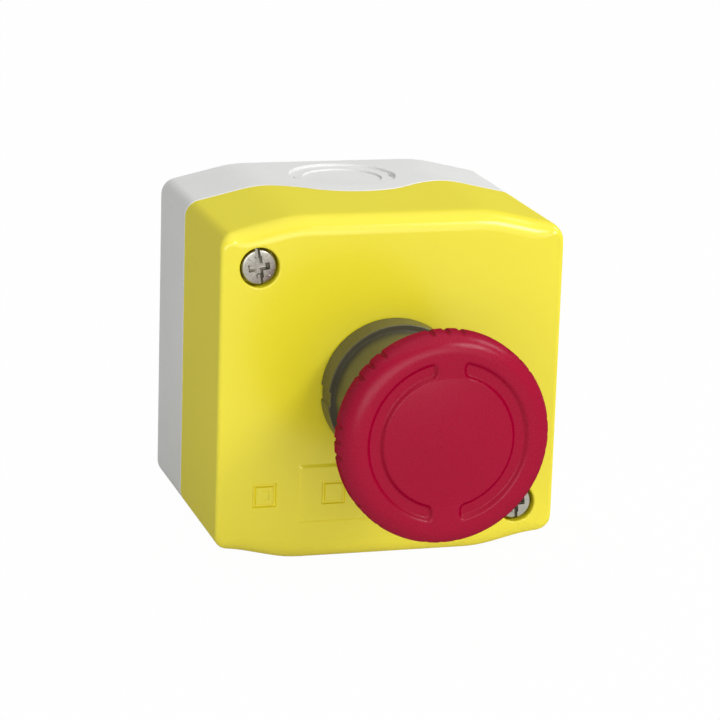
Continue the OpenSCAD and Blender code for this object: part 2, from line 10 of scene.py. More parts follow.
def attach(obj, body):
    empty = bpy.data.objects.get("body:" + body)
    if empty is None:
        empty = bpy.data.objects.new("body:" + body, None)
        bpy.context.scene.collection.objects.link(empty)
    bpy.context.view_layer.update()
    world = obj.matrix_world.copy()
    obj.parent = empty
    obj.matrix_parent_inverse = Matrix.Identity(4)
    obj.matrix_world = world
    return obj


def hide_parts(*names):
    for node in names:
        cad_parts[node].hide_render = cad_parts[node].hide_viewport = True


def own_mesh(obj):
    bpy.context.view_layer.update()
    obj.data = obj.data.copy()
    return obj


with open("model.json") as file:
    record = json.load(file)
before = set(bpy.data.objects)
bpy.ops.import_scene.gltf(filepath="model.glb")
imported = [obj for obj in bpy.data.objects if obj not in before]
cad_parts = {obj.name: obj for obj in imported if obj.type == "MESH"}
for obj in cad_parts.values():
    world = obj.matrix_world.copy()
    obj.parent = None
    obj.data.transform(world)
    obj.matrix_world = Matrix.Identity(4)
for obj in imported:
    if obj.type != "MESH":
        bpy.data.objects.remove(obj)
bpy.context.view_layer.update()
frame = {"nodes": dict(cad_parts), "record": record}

MM = 0.001

# Box: half width, half height, slope of the shoulders in degrees and their distance from the
# middle, radii of the corners seen from the front, depth, walls and the front wall's inner face
SIDE, TOP = 34.0, 34.0
SHOULDER_SLOPE, SHOULDER_REACH = 13.0, 37.515
LONG_CORNER_R, SHOULDER_CREASE_R = 3.3, 26.0
BOX_D, WALL, REAR_WALL, FRONT_IN = 53.0, 2.6, 2.6, 50.2
# Radius of the front edge along the top and underside, and along the upright sides
BROW_R, CHEEK_R = 3.8, 0.8
# Joint of base and lid: depth at the sides, rise and half width of the arch, gap, arc radius
BASE_D, ARCH_RISE, ARCH_HALF, JOINT_GAP = 22.1, 8.3, 21.0, 0.3
ARCH_R = (ARCH_HALF**2 + ARCH_RISE**2) / (4 * ARCH_RISE)
# Lid screws: places, pillars, and the depths of the recess floor, the head's seat and its top
SCREW_PLACES = ((-26.4, 24.6), (26.4, -24.6))
PILLAR_R, PILLAR_BORE_R = 5.3, 2.1
SCREW_FLOOR, SCREW_SEAT, SCREW_TOP = 49.2, 49.8, 52.4
SCREW_HEAD_R, SHANK_R, SHANK_END = 3.4, 1.9, 11.8
# Wall screws
WALL_SCREW_PLACES, WALL_SCREW_R = ((27, 19), (-27, -19)), 2.15
# Lid face: the label plate's corners and height, and the middles of the two moulded squares
PLATE_LOW, PLATE_HIGH, PLATE_RISE = (-17.9, -26.2), (17.9, -14.5), 0.4
SQUARE_AT, PLATE_SQUARE_AT, SQUARE_HALF, SQUARE_LINE = (-24.5, -20.3), (-10.9, -20.2), 2.45, 0.9
# Head's barrel and the slot for its tab
PANEL_HOLE_R, BARREL_R, TAB_SLOT_HALF, TAB_SLOT_TOP = 11.15, 11.0, 1.6, 12.4
# Knock-outs: distance in front of the wall, radius, depth, radius and depth of the smaller disc
KNOCKOUT_AT, KNOCKOUT_R, KNOCKOUT_SUNK = 14.5, 10.65, 0.5
SMALL_DISC_R, SMALL_DISC_SUNK = 8.0, 0.85
# Cap: depths of its crown and its rim, radius, radius of its front edge
CROWN, CAP_RIM, CAP_R, CAP_EDGE_R = 91.0, 90.2, 20.0, 3.6
# Recess of the cap: radii, depth, width of the two bridges, corner radius, widths of its walls
RECESS_IN, RECESS_OUT, RECESS_SUNK, BRIDGE = 12.0, 15.6, 0.7, 4.6
RECESS_CORNER_R, INNER_WALL_W, OUTER_WALL_W = 1.3, 0.9, 1.4
# Notches of the cap: groups of three, spacing in degrees, radius of their tool and its distance
NOTCH_GROUPS, NOTCH_STEP, NOTCH_R, NOTCH_AT = 8, 8.3, 0.5, 20.1
# Bezel: radii and depths of its flange and sleeve, and its thread
FLANGE_R, FLANGE_BACK, FLANGE_FRONT, SLEEVE_R, SLEEVE_FRONT = 14.05, 53.3, 59.1, 12.9, 79.5
THREAD_DEPTH, THREAD_BACK, THREAD_FRONT = 0.28, 36.5, 44.7
# Distance of a contact block's middle from the station's middle
BLOCK_X = 6
# Rounding of the inner pieces' edges
EASED_EDGE = 0.12
# Corners of a square of half size 1, in order round it
SQUARE = np.array([(1, 1), (-1, 1), (-1, -1), (1, -1)], float)


# Mesh making

def new_object(name, vertices, faces):
    """An object from vertices in millimetres, with doubles merged and faces pointing outwards."""
    mesh = bpy.data.meshes.new(name)
    mesh.from_pydata((np.asarray(vertices, float).reshape(-1, 3) * MM).tolist(), [], faces)
    work = bmesh.new()
    work.from_mesh(mesh)
    bmesh.ops.remove_doubles(work, verts=work.verts, dist=1e-7)
    bmesh.ops.recalc_face_normals(work, faces=work.faces)
    work.to_mesh(mesh)
    work.free()
    piece = bpy.data.objects.new(name, mesh)
    bpy.context.scene.collection.objects.link(piece)
    return piece


def closed_surface(name, rings, tube=False):
    """Rings of points joined ring to ring. The first and last ring get flat caps, or with tube
    they join each other. A ring shrunk to a point closes by itself."""
    count, columns = rings.shape[:2]
    index = np.arange(count * columns).reshape(count, columns)
    if tube:
        index = np.vstack([index, index[:1]])
    near, far = index[:-1], index[1:]
    quads = np.stack([near, np.roll(near, -1, 1), np.roll(far, -1, 1), far], -1)
    faces = quads.reshape(-1, 4).tolist()
    if not tube:
        for ring in (0, -1):
            if np.ptp(rings[ring], axis=0).max() > 1e-6:
                faces.append(index[ring].tolist())
    return new_object(name, rings, faces)


def softened(corners, radii, steps=4):
    """A line through corners whose corner k is rounded with radius radii[k]: with the half turn h,
    the arc starts radius * tan(h) before the corner and swings by 2h."""
    corners = np.asarray(corners, float)
    line = [corners[:1]]
    for k in range(1, len(corners) - 1):
        corner = corners[k]
        back = corners[k - 1] - corner
        ahead = corners[k + 1] - corner
        back, ahead = back / np.linalg.norm(back), ahead / np.linalg.norm(ahead)
        half = (math.pi - math.acos(np.clip(back @ ahead, -1, 1))) / 2
        if radii[k] <= 0 or half < 1e-3:
            line.append(corner[None])
            continue
        middle = back + ahead
        centre = corner + middle / np.linalg.norm(middle) * radii[k] / math.cos(half)
        start = corner + back * radii[k] * math.tan(half) - centre
        turn = 2 * half * np.sign(back[0] * ahead[1] - back[1] * ahead[0])
        swing = -turn * np.linspace(0, 1, steps + 1)
        line.append(centre + np.stack([start[0] * np.cos(swing) - start[1] * np.sin(swing),
                                       start[0] * np.sin(swing) + start[1] * np.cos(swing)], -1))
    line.append(corners[-1:])
    return np.vstack(line)


def turned(name, profile, at=(0, 0), angles=None):
    """A profile of (radius, depth) turned about the depth axis: x = x0 + r sin a and
    z = z0 + r cos a."""
    angles = np.linspace(0, 2 * np.pi, 96, endpoint=False) if angles is None else angles
    radius, depth = np.asarray(profile, float).T
    rings = np.stack([at[0] + radius[:, None] * np.sin(angles),
                      -depth[:, None] + 0 * angles,
                      at[1] + radius[:, None] * np.cos(angles)], -1)
    return closed_surface(name, rings)


def prism(name, outline, low, high, axis):
    """A flat outline pushed along one axis from low to high. The outline's two numbers are the
    other two axes in order."""
    outline = np.asarray(outline, float)
    rings = [np.insert(outline, axis, level, axis=1) for level in (low, high)]
    return closed_surface(name, np.array(rings))


def block(name, low, high, rounding=0.0):
    """A box between two corners, with its edges rounded where a rounding is given."""
    piece = prism(name, [(low[0], low[1]), (high[0], low[1]), (high[0], high[1]),
                         (low[0], high[1])], low[2], high[2], 2)
    if rounding:
        edges = piece.modifiers.new("edges", "BEVEL")
        edges.width, edges.segments = rounding * MM, 2
        settle(piece)
    return piece


def settle(piece):
    """The piece's modifiers become its mesh."""
    graph = bpy.context.evaluated_depsgraph_get()
    mesh = bpy.data.meshes.new_from_object(piece.evaluated_get(graph))
    piece.modifiers.clear()
    piece.data = mesh


def shape(piece, tools, operation):
    """Joins closed tools to a closed piece, or cuts them from it, one after the other."""
    for tool in tools:
        step = piece.modifiers.new(tool.name, "BOOLEAN")
        step.object, step.operation, step.solver = tool, operation, "MANIFOLD"
    settle(piece)
    for tool in tools:
        bpy.data.objects.remove(tool)


def finish(piece, body, nodes, material, crease=32.0):
    """The piece rides on its body in place of its CAD nodes. Its edges stay sharp past the crease
    angle, and its flat faces keep flat shading next to their rounded edges."""
    piece.data.materials.clear()
    piece.data.materials.append(material)
    piece.data.shade_smooth()
    piece.data.set_sharp_from_angle(angle=math.radians(crease))
    shading = piece.modifiers.new("flat faces", "WEIGHTED_NORMAL")
    shading.keep_sharp, shading.mode, shading.weight = True, "FACE_AREA", 90
    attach(piece, body)
    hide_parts(*nodes)
    return piece


# Materials

def linear(hex_colour):
    """sRGB hex to linear RGBA: ((c + 0.055) / 1.055) ** 2.4 above 0.04045, c / 12.92 below."""
    parts = [int(hex_colour[i:i + 2], 16) / 255 for i in (1, 3, 5)]
    return [c / 12.92 if c <= 0.04045 else ((c + 0.055) / 1.055) ** 2.4 for c in parts] + [1.0]


def add(tree, kind, inputs=None, **settings):
    """One node with its settings. An input that is another node's socket is linked."""
    node = tree.nodes.new(kind)
    for key, value in settings.items():
        setattr(node, key, value)
    for socket, value in (inputs or {}).items():
        if isinstance(value, bpy.types.NodeSocket):
            tree.links.new(value, node.inputs[socket])
        else:
            node.inputs[socket].default_value = value
    return node


def blank_material(name):
    """A material with an empty tree, its object coordinates and its shader."""
    material = bpy.data.materials.new(name)
    material.use_nodes = True
    tree = material.node_tree
    tree.nodes.clear()
    place = add(tree, "ShaderNodeTexCoord").outputs["Object"]
    shader = add(tree, "ShaderNodeBsdfPrincipled")
    add(tree, "ShaderNodeOutputMaterial", {"Surface": shader.outputs[0]})
    return material, tree, place, shader


def moulded_plastic(name, colour, shade, roughness, grain, texture_depth, gloss=0.10,
                    spread=0.06, specular=0.0, drift_size=14):
    """Moulded plastic: an even colour that drifts a little towards a second shade where the melt
    cooled unevenly, and the fine etched grain of the mould. grain, texture_depth and drift_size
    are mm, and spread is how far the roughness strays. Its sheen lies in a weak coat of high
    index, so that edges catch the lamps and sides seen at a slant keep their colour: gloss is the
    weight of that coat. specular adds the usual sheen, which grows at a slant."""
    material, tree, place, shader = blank_material(name)
    drift = add(tree, "ShaderNodeTexNoise",
                {"Vector": place, "Scale": 1 / (drift_size * MM), "Detail": 3.0})
    speck = add(tree, "ShaderNodeTexNoise",
                {"Vector": place, "Scale": 1 / (grain * MM), "Detail": 2.0, "Roughness": 0.6})
    both = add(tree, "ShaderNodeMath", {0: drift.outputs[0], 1: speck.outputs[0]},
               operation="MULTIPLY")
    amount = add(tree, "ShaderNodeMapRange",
                 {"Value": both.outputs[0], "From Min": 0.12, "From Max": 0.4})
    tint = add(tree, "ShaderNodeMix", {"Factor": amount.outputs[0], 6: linear(colour),
                                       7: linear(shade)}, data_type="RGBA")
    rough = add(tree, "ShaderNodeMapRange",
                {"Value": speck.outputs[0], "From Min": 0.3, "From Max": 0.7,
                 "To Min": roughness - spread, "To Max": roughness + spread})
    relief = add(tree, "ShaderNodeBump", {"Height": speck.outputs[0], "Strength": 1.0,
                                          "Distance": texture_depth * MM})
    tree.links.new(tint.outputs["Result"], shader.inputs["Base Color"])
    tree.links.new(rough.outputs[0], shader.inputs["Coat Roughness"])
    tree.links.new(relief.outputs[0], shader.inputs["Normal"])
    tree.links.new(relief.outputs[0], shader.inputs["Coat Normal"])
    tree.links.new(rough.outputs[0], shader.inputs["Roughness"])
    shader.inputs["Specular IOR Level"].default_value = specular
    shader.inputs["Coat Weight"].default_value = gloss
    shader.inputs["Coat IOR"].default_value = 4.0
    return material


def metal(name, colour, shade, roughness, grain, texture_depth, smoother=0.07, rougher=0.09):
    """Plated or drawn metal: two close shades in fine patches that also vary its gloss. grain and
    texture_depth are mm. The roughness strays down by smoother and up by rougher."""
    material, tree, place, shader = blank_material(name)
    speck = add(tree, "ShaderNodeTexNoise",
                {"Vector": place, "Scale": 1 / (grain * MM), "Detail": 3.0})
    amount = add(tree, "ShaderNodeMapRange",
                 {"Value": speck.outputs[0], "From Min": 0.35, "From Max": 0.65})
    tint = add(tree, "ShaderNodeMix", {"Factor": amount.outputs[0], 6: linear(colour),
                                       7: linear(shade)}, data_type="RGBA")
    rough = add(tree, "ShaderNodeMapRange",
                {"Value": speck.outputs[0], "From Min": 0.3, "From Max": 0.7,
                 "To Min": roughness - smoother, "To Max": roughness + rougher})
    relief = add(tree, "ShaderNodeBump", {"Height": speck.outputs[0], "Strength": 1.0,
                                          "Distance": texture_depth * MM})
    tree.links.new(tint.outputs["Result"], shader.inputs["Base Color"])
    tree.links.new(rough.outputs[0], shader.inputs["Roughness"])
    tree.links.new(relief.outputs[0], shader.inputs["Normal"])
    shader.inputs["Metallic"].default_value = 1.0
    return material


# Polycarbonate, injection moulded: clean signal yellow with broad soft highlights on the brow
yellow_polycarbonate = moulded_plastic(
    "yellow_polycarbonate", "#EDDF30", "#ECDE2F", roughness=0.23, grain=0.6, texture_depth=0.001,
    gloss=0.13, spread=0.02)
# Polycarbonate of the base: pale neutral grey, duller than the lid
grey_polycarbonate = moulded_plastic(
    "grey_polycarbonate", "#E8E8E6", "#E2E3E1", roughness=0.45, grain=0.5, texture_depth=0.006,
    gloss=0.14)
# Polyamide of the head: deep signal red with a satin sheen from the etched mould
red_polyamide = moulded_plastic(
    "red_polyamide", "#9E002D", "#99002A", roughness=0.27, grain=0.4, texture_depth=0.004,
    gloss=0.042)
# Glass-filled polyamide of the bezel: dark grey, its base colour tinted olive as a painted
# reflection of the yellow lid, with a real sheen that grows at a slant
dark_polyamide = moulded_plastic(
    "dark_polyamide", "#4A4733", "#44412D", roughness=0.36, grain=0.4, texture_depth=0.004,
    gloss=0.0, specular=0.5)
# Black thermoplastic of the contact blocks, nut and plunger: fine grain, low gloss
black_polyamide = moulded_plastic(
    "black_polyamide", "#29292B", "#232325", roughness=0.45, grain=0.4, texture_depth=0.010)
# Red thermoplastic of the contact plungers: satin, a little lighter than the head
red_key_plastic = moulded_plastic(
    "red_key_plastic", "#A41F2C", "#9A1B27", roughness=0.42, grain=0.4, texture_depth=0.008)
# Moulded nitrile rubber of the gasket and seals: near black and dull
nitrile_rubber = moulded_plastic(
    "nitrile_rubber", "#1B1B1C", "#222223", roughness=0.72, grain=0.25, texture_depth=0.012)
# Zinc-plated steel of screws, clamps and stem: bright, its colour given a warm cast as a painted
# reflection of the yellow lid
zinc_plated_steel = metal(
    "zinc_plated_steel", "#B5B2A8", "#9F9C92", roughness=0.30, grain=0.35, texture_depth=0.004)
# Drawn spring wire: even grey with a soft gleam
drawn_spring_steel = metal(
    "drawn_spring_steel", "#A9ACB0", "#8E9196", roughness=0.30, grain=0.3, texture_depth=0.003)
# Silvered brass of strips and bridges: pale warm metal
silvered_brass = metal(
    "silvered_brass", "#D2BE7E", "#BBA565", roughness=0.28, grain=0.4, texture_depth=0.003)

SLOT_MATERIALS = {
    "grey_plastic": grey_polycarbonate, "yellow_plastic": yellow_polycarbonate,
    "red_plastic": red_polyamide, "dark_plastic": dark_polyamide,
    "black_plastic": black_polyamide, "key_plastic": red_key_plastic,
    "black_rubber": nitrile_rubber, "zinc_steel": zinc_plated_steel,
    "spring_steel": drawn_spring_steel, "contact_brass": silvered_brass,
}


# Outlines

def outline_columns(facings, distances, radii, arc_steps, line_shares):
    """Columns round a convex outline with rounded corners. Side k faces the angle facings[k] at
    distances[k] from the middle, and corner k joins it to the next side with radius radii[k].
    Every column names the corners before and after it, its facing and its share of the way."""
    sides = len(facings)
    before, after, facing, share = [], [], [], []
    for k in range(sides):
        shares = np.asarray(line_shares[k])
        before.append(np.full(len(shares), (k - 1) % sides))
        after.append(np.full(len(shares), k))
        facing.append(np.full(len(shares), facings[k]))
        share.append(shares)
        swing = (facings[(k + 1) % sides] - facings[k]) % 360
        arc = facings[k] + swing * np.linspace(0, 1, arc_steps[k] + 1)[:-1]
        before.append(np.full(len(arc), k))
        after.append(np.full(len(arc), k))
        facing.append(arc)
        share.append(np.zeros(len(arc)))
    return {"facings": np.radians(facings), "distances": np.asarray(distances, float),
            "radii": np.asarray(radii, float), "before": np.concatenate(before),
            "after": np.concatenate(after), "facing": np.radians(np.concatenate(facing)),
            "share": np.concatenate(share)}


def outline_points(columns, inset, least_radius=2.0, easing=0.2):
    """Points of the outline moved inwards by inset, which may differ by column:
    P = (1 - t)(A + a u) + t (B + b u), where A and B are the centres of the corners before and
    after, a and b their radii, u the facing and t the share. A corner's radius shrinks with the
    inset to least_radius, the larger of the two blended over easing."""
    def corner(which):
        facing, following = columns["facings"][which], np.roll(columns["facings"], -1)[which]
        radius = columns["radii"][which]
        spare = radius - inset
        least = np.minimum(radius, least_radius)
        radius = 0.5 * (spare + least + np.sqrt((spare - least) ** 2 + easing**2))
        first = columns["distances"][which] - inset - radius
        second = np.roll(columns["distances"], -1)[which] - inset - radius
        turn = np.sin(following - facing)
        x = (first * np.sin(following) - second * np.sin(facing)) / turn
        z = (second * np.cos(facing) - first * np.cos(following)) / turn
        return x + radius * np.cos(columns["facing"]), z + radius * np.sin(columns["facing"])
    ax, az = corner(columns["before"])
    bx, bz = corner(columns["after"])
    t = columns["share"]
    return (1 - t) * ax + t * bx, (1 - t) * az + t * bz


along_top = np.linspace(0, 1, 61)[:-1]
along_shoulder = np.linspace(0, 1, 11)[:-1]
near_ends = np.array([0, 0.012, 0.025, 0.04, 0.055, 0.075])
along_side = np.concatenate([near_ends, np.linspace(0.1, 0.9, 9), 1 - near_ends[:0:-1]])
BOX = outline_columns(
    [0, 90 - SHOULDER_SLOPE, 90, 90 + SHOULDER_SLOPE, 180, 270 - SHOULDER_SLOPE, 270,
     270 + SHOULDER_SLOPE],
    [SIDE, SHOULDER_REACH, TOP, SHOULDER_REACH] * 2,
    [LONG_CORNER_R, SHOULDER_CREASE_R, SHOULDER_CREASE_R, LONG_CORNER_R] * 2,
    [14, 4, 4, 14, 14, 4, 4, 14],
    [along_side, along_shoulder, along_top, along_shoulder] * 2)


def joint_depth(x):
    """Depth of the joint: even at the sides, then a concave and a convex arc of one radius that
    meet halfway up the arch."""
    x = np.minimum(np.abs(x), ARCH_HALF)
    rise = ARCH_R - np.sqrt(np.maximum(ARCH_R**2 - (ARCH_HALF - x) ** 2, 0))
    crest = ARCH_RISE - ARCH_R + np.sqrt(ARCH_R**2 - np.minimum(x, ARCH_HALF / 2) ** 2)
    return BASE_D + np.where(x > ARCH_HALF / 2, rise, crest)


def box_rings(rows):
    """Rings of the box outline. A row is (inset, depth, follows), and one that follows the joint
    adds its depth to the joint's."""
    rings = []
    for inset, depth, follows in rows:
        inset = inset + np.zeros(len(BOX["share"]))
        x, z = outline_points(BOX, inset)
        rings.append(np.stack([x, -(depth + (joint_depth(x) if follows else 0 * x)), z], -1))
    return np.array(rings)


def eased_step(share):
    """0 below share 0, 1 above share 1 and 3s^2 - 2s^3 between them."""
    s = np.clip(share, 0, 1)
    return 3 * s**2 - 2 * s**3


def lid_edge_rings(change_start=-4.7, change_width=13):
    """Rings of the lid's rounded front edge, moved in along each column's facing n:
    P = P0 - e (1 - cos t) n at the front face's depth - e (1 - sin t). The radius e is BROW_R
    along the top, the underside and the shoulders and CHEEK_R along the upright sides. It changes
    by an eased step of |x| - |z|."""
    x, z = outline_points(BOX, 0)
    change = eased_step((np.abs(x) - np.abs(z) - change_start) / change_width)
    edge = BROW_R + (CHEEK_R - BROW_R) * change
    rings = []
    for t in np.radians(np.linspace(90, 0, 11)):
        inset = edge * (1 - np.cos(t))
        rings.append(np.stack([x - inset * np.cos(BOX["facing"]), edge * (1 - np.sin(t)) - BOX_D,
                               z - inset * np.sin(BOX["facing"])], -1))
    return np.array(rings)


# Lid

def lid_shell():
    """Cup of the lid: front face, rounded front edges, wall, joint face, flange and inner wall."""
    rows = [(0, JOINT_GAP + 0.25, True), (0.02, JOINT_GAP + 0.15, True),
            (0.08, JOINT_GAP + 0.07, True), (0.25, JOINT_GAP, True), (4.2, JOINT_GAP, True),
            (4.2, 4.4, True), (WALL, 4.4, True), (WALL, 49.4, False), (2.7, 49.8, False),
            (3.0, 50.1, False), (3.4, FRONT_IN, False)]
    return closed_surface("lid", np.vstack([lid_edge_rings(), box_rings(rows)]))


def groove_tool():
    """Groove for the gasket and the tongue, which follows the joint."""
    return closed_surface("groove", box_rings([(1.4, -1, True), (1.4, 3.2, True),
                                               (2.9, 3.2, True), (2.9, -1, True)]), tube=True)


def screw_recess_tool(at, radius=3.85):
    """Round recess of a lid screw with a softened mouth, down to the sealing ring."""
    return turned("recess", softened([(0, SCREW_FLOOR), (radius, SCREW_FLOOR), (radius, BOX_D),
                                      (6, BOX_D + 0.02), (6, 56), (0, 56)],
                                     [0, 0.15, 0.35, 0, 0, 0]), at)


def rod(name, at, radius, low, high, sides):
    """Plain round bar or bore along the depth."""
    return turned(name, [(0, low), (radius, low), (radius, high), (0, high)], at,
                  np.linspace(0, 2 * np.pi, sides, endpoint=False))


def bores(places, radius, low, high):
    """Round bores of one radius at several places."""
    return [rod("bore", at, radius, low, high, 48) for at in places]


def pillars(radius, low, high):
    """Round pillars that carry or take the lid screws."""
    return [rod("pillar", at, radius, low, high, 64) for at in SCREW_PLACES]


def raised_panel(name, low, high, base, rise, slope, corner, rooted=0.6):
    """Flat panel with sloping edges: rings of a rounded rectangle whose height climbs evenly
    across the slope, with narrow rings at its foot and its top that keep both edges crisp. It
    reaches below the face by rooted."""
    middle = (np.asarray(low) + high) / 2
    half = (np.asarray(high) - low) / 2
    columns = outline_columns([0, 90, 180, 270], [half[0], half[1]] * 2, [corner] * 4, [5] * 4,
                              [np.linspace(0, 1, 5)[:-1]] * 4)
    rings = []
    for share, height in [(0, -rooted)] + [(s, rise * s) for s in (0, 0.1, 0.5, 0.9, 1)]:
        inset = share * slope + np.zeros(len(columns["share"]))
        x, z = outline_points(columns, inset)
        rings.append(np.stack([x + middle[0], 0 * x - base - height, z + middle[1]], -1))
    return closed_surface(name, np.array(rings))


def square_line_tool(centre, sunk, base, slope=0.3, above=0.2):
    """Square groove with sloping walls, for the moulded squares on the lid."""
    half, inner = SQUARE_HALF, SQUARE_HALF - SQUARE_LINE
    rows = [(half, above), (half - slope, -sunk), (inner + slope, -sunk), (inner, above)]
    rings = [np.stack([centre[0] + SQUARE[:, 0] * h, 0 * SQUARE[:, 0] - base - lift,
                       centre[1] + SQUARE[:, 1] * h], -1) for h, lift in rows]
    return closed_surface("square", np.array(rings), tube=True)


def make_lid():
    """The shell with its screw pillars, their thicker seats and the label plate, then all that is
    cut from it, then the small square inside the left one."""
    lid = lid_shell()
    plate = raised_panel("label_plate", PLATE_LOW, PLATE_HIGH, BOX_D, PLATE_RISE, slope=0.55,
                         corner=0.4)
    shape(lid, pillars(PILLAR_R, BASE_D + JOINT_GAP, FRONT_IN + 0.6)
          + pillars(PILLAR_R + 0.05, SCREW_FLOOR - 2, FRONT_IN + 0.8) + [plate], "UNION")
    tab_slot = block("tab_slot", (-TAB_SLOT_HALF, -55, 0), (TAB_SLOT_HALF, -49, TAB_SLOT_TOP))
    tools = [groove_tool()] + bores([(0, 0)], PANEL_HOLE_R, 49, 55) + [tab_slot]
    tools += bores(SCREW_PLACES, PILLAR_BORE_R, 20, 54)
    tools += [screw_recess_tool(at) for at in SCREW_PLACES]
    tools += [square_line_tool(SQUARE_AT, 0.45, BOX_D),
              square_line_tool(PLATE_SQUARE_AT, 0.4, BOX_D + PLATE_RISE)]
    shape(lid, tools, "DIFFERENCE")
    inner_square = raised_panel("inner_square", np.add(SQUARE_AT, -1), np.add(SQUARE_AT, 1), BOX_D,
                                0.2, slope=0.3, corner=0.2)
    shape(lid, [inner_square], "UNION")
    return finish(lid, "lid", ["lid"], yellow_polycarbonate)


# Base

def base_shell(edge_r=0.9):
    """Cup of the base: rear face, rounded rear edge, wall, arched rim, tongue and inner wall."""
    rows = []
    for angle in np.radians(np.linspace(90, 0, 6)):
        rows.append((edge_r * (1 - math.cos(angle)), edge_r * (1 - math.sin(angle)), False))
    rows += [(0, -0.25, True), (0.02, -0.15, True), (0.08, -0.07, True), (0.25, 0, True),
             (1.6, 0, True), (1.6, 1.8, True), (1.8, 2.0, True), (2.4, 2.0, True),
             (WALL, 1.8, True), (WALL, 3.4, False), (2.7, 3.0, False), (3.0, 2.7, False),
             (3.4, REAR_WALL, False)]
    return closed_surface("enclosure_base", box_rings(rows))


def upright_turned(name, profile, side, tube=False):
    """A profile of (radius, height above the skin) turned about the axis of a knock-out, on the
    top (side 1) or the underside (side -1)."""
    angles = np.linspace(0, 2 * np.pi, 128, endpoint=False)
    radius, height = np.asarray(profile, float).T
    rings = np.stack([radius[:, None] * np.cos(angles),
                      -KNOCKOUT_AT + radius[:, None] * np.sin(angles),
                      side * (TOP + height[:, None]) + 0 * angles], -1)
    return closed_surface(name, rings, tube)


def knockout_tools(side, line_width=0.8, line_top=-1.3, notch_in=0.4,
                   notch_half=(0.55, 1.4, 0.55)):
    """Sunk break-out disc, its smaller disc, its break line on the inside and two notches."""
    disc = upright_turned("disc", softened(
        [(0, -KNOCKOUT_SUNK), (KNOCKOUT_R, -KNOCKOUT_SUNK), (KNOCKOUT_R, 0), (12, 0.02), (12, 2),
         (0, 2)], [0, 0.12, 0.2, 0, 0, 0]), side)
    below = -WALL - 1
    break_line = upright_turned(
        "break_line", [(KNOCKOUT_R - line_width, below), (KNOCKOUT_R, below),
                       (KNOCKOUT_R, line_top), (KNOCKOUT_R - line_width, line_top)], side,
        tube=True)
    small_disc = upright_turned("small_disc", [(0, -SMALL_DISC_SUNK),
                                               (SMALL_DISC_R, -SMALL_DISC_SUNK),
                                               (SMALL_DISC_R + 0.1, 0), (0, 0)], side)
    notches = []
    for x in (notch_in - KNOCKOUT_R, KNOCKOUT_R - notch_in):
        middle = np.array([x, -KNOCKOUT_AT, side * (TOP - notch_half[2])])
        notches.append(block("notch", middle - notch_half, middle + notch_half))
    return [disc, break_line, small_disc] + notches


def hook(x, side):
    """Hook over the foot of a contact block: an L of depth and height, 5 wide."""
    outline = [(-2.1, 24.4), (-2.1, 22.9), (-5.2, 22.9), (-5.2, 21.3), (-6.6, 21.3),
               (-7.4, 22.1), (-7.4, 24.4)]
    return prism("hook", [(y, side * z) for y, z in outline], x - 2.5, x + 2.5, 0)


def make_base():
    """The shell with its screw pillars and the blocks' hooks, then all that is cut from it."""
    base = base_shell()
    shape(base, pillars(PILLAR_R, REAR_WALL - 1, BASE_D)
          + [hook(x, side) for x in (-BLOCK_X, BLOCK_X) for side in (-1, 1)], "UNION")
    tools = bores(SCREW_PLACES, PILLAR_BORE_R, 10, 30)
    tools += bores(WALL_SCREW_PLACES, WALL_SCREW_R, -1, 4)
    shape(base, tools + knockout_tools(1) + knockout_tools(-1), "DIFFERENCE")
    return finish(base, "base", ["enclosure_base"], grey_polycarbonate)


# Mushroom head

def cap_angles(least_step=0.12):
    """Column angles: fine across each of the 24 notches and round the ends of the recess, and
    none nearer to the next than least_step."""
    across = np.array([0, 0.35, 0.7, 1.0, 1.2, 1.35, 1.5, 1.7, 2.1, 2.7])
    across = np.concatenate([-across[:0:-1], across])
    groups = np.arange(NOTCH_GROUPS)[:, None] * 360 / NOTCH_GROUPS
    centres = (groups + np.array([-NOTCH_STEP, 0, NOTCH_STEP])).ravel()
    notches = (centres[:, None] + across).ravel()
    ends = np.arange(9.5, 20.0, 0.4)
    ends = np.concatenate([ends, -ends, 180 - ends, 180 + ends])
    angles = np.sort(np.concatenate([notches, ends, np.arange(0, 360, 2.5)]) % 360)
    keep = np.diff(np.append(angles, angles[0] + 360)) > least_step
    return np.radians(angles[keep])


